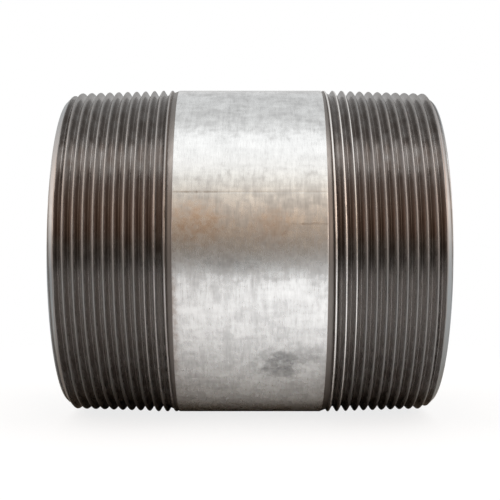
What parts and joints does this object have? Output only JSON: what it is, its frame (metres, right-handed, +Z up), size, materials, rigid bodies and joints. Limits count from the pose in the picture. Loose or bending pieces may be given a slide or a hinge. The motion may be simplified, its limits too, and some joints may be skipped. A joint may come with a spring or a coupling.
{
  "type": "pipe nipple",
  "caption": "Galvanised steel pipe nipple: a short zinc-coated pipe with a coarse taper pipe thread cut into each end, for joining two female-threaded fittings.",
  "frame": {"origin": "centre of the pipe: on its axis, midway between its two end faces", "axes": "+X along the pipe's axis towards its right-hand end, +Y away from the front, +Z up when the pipe lies on its side"},
  "size_m": [0.127, 0.1144, 0.1144],
  "materials": {
    "cut_steel": "freshly cut, dark and slightly oily, with brown tints",
    "weld_metal": "rolled flat",
    "outer_zinc": "hot-dip galvanised, satin, faintly mottled",
    "bore_zinc": "hot-dip galvanised, dull"
  },
  "bodies": {
    "root": {"steel_pipe": "cut_steel", "seam_weld": "weld_metal", "zinc_outer_coat": "outer_zinc", "zinc_bore_lining": "bore_zinc"}
  },
  "joints": []
}
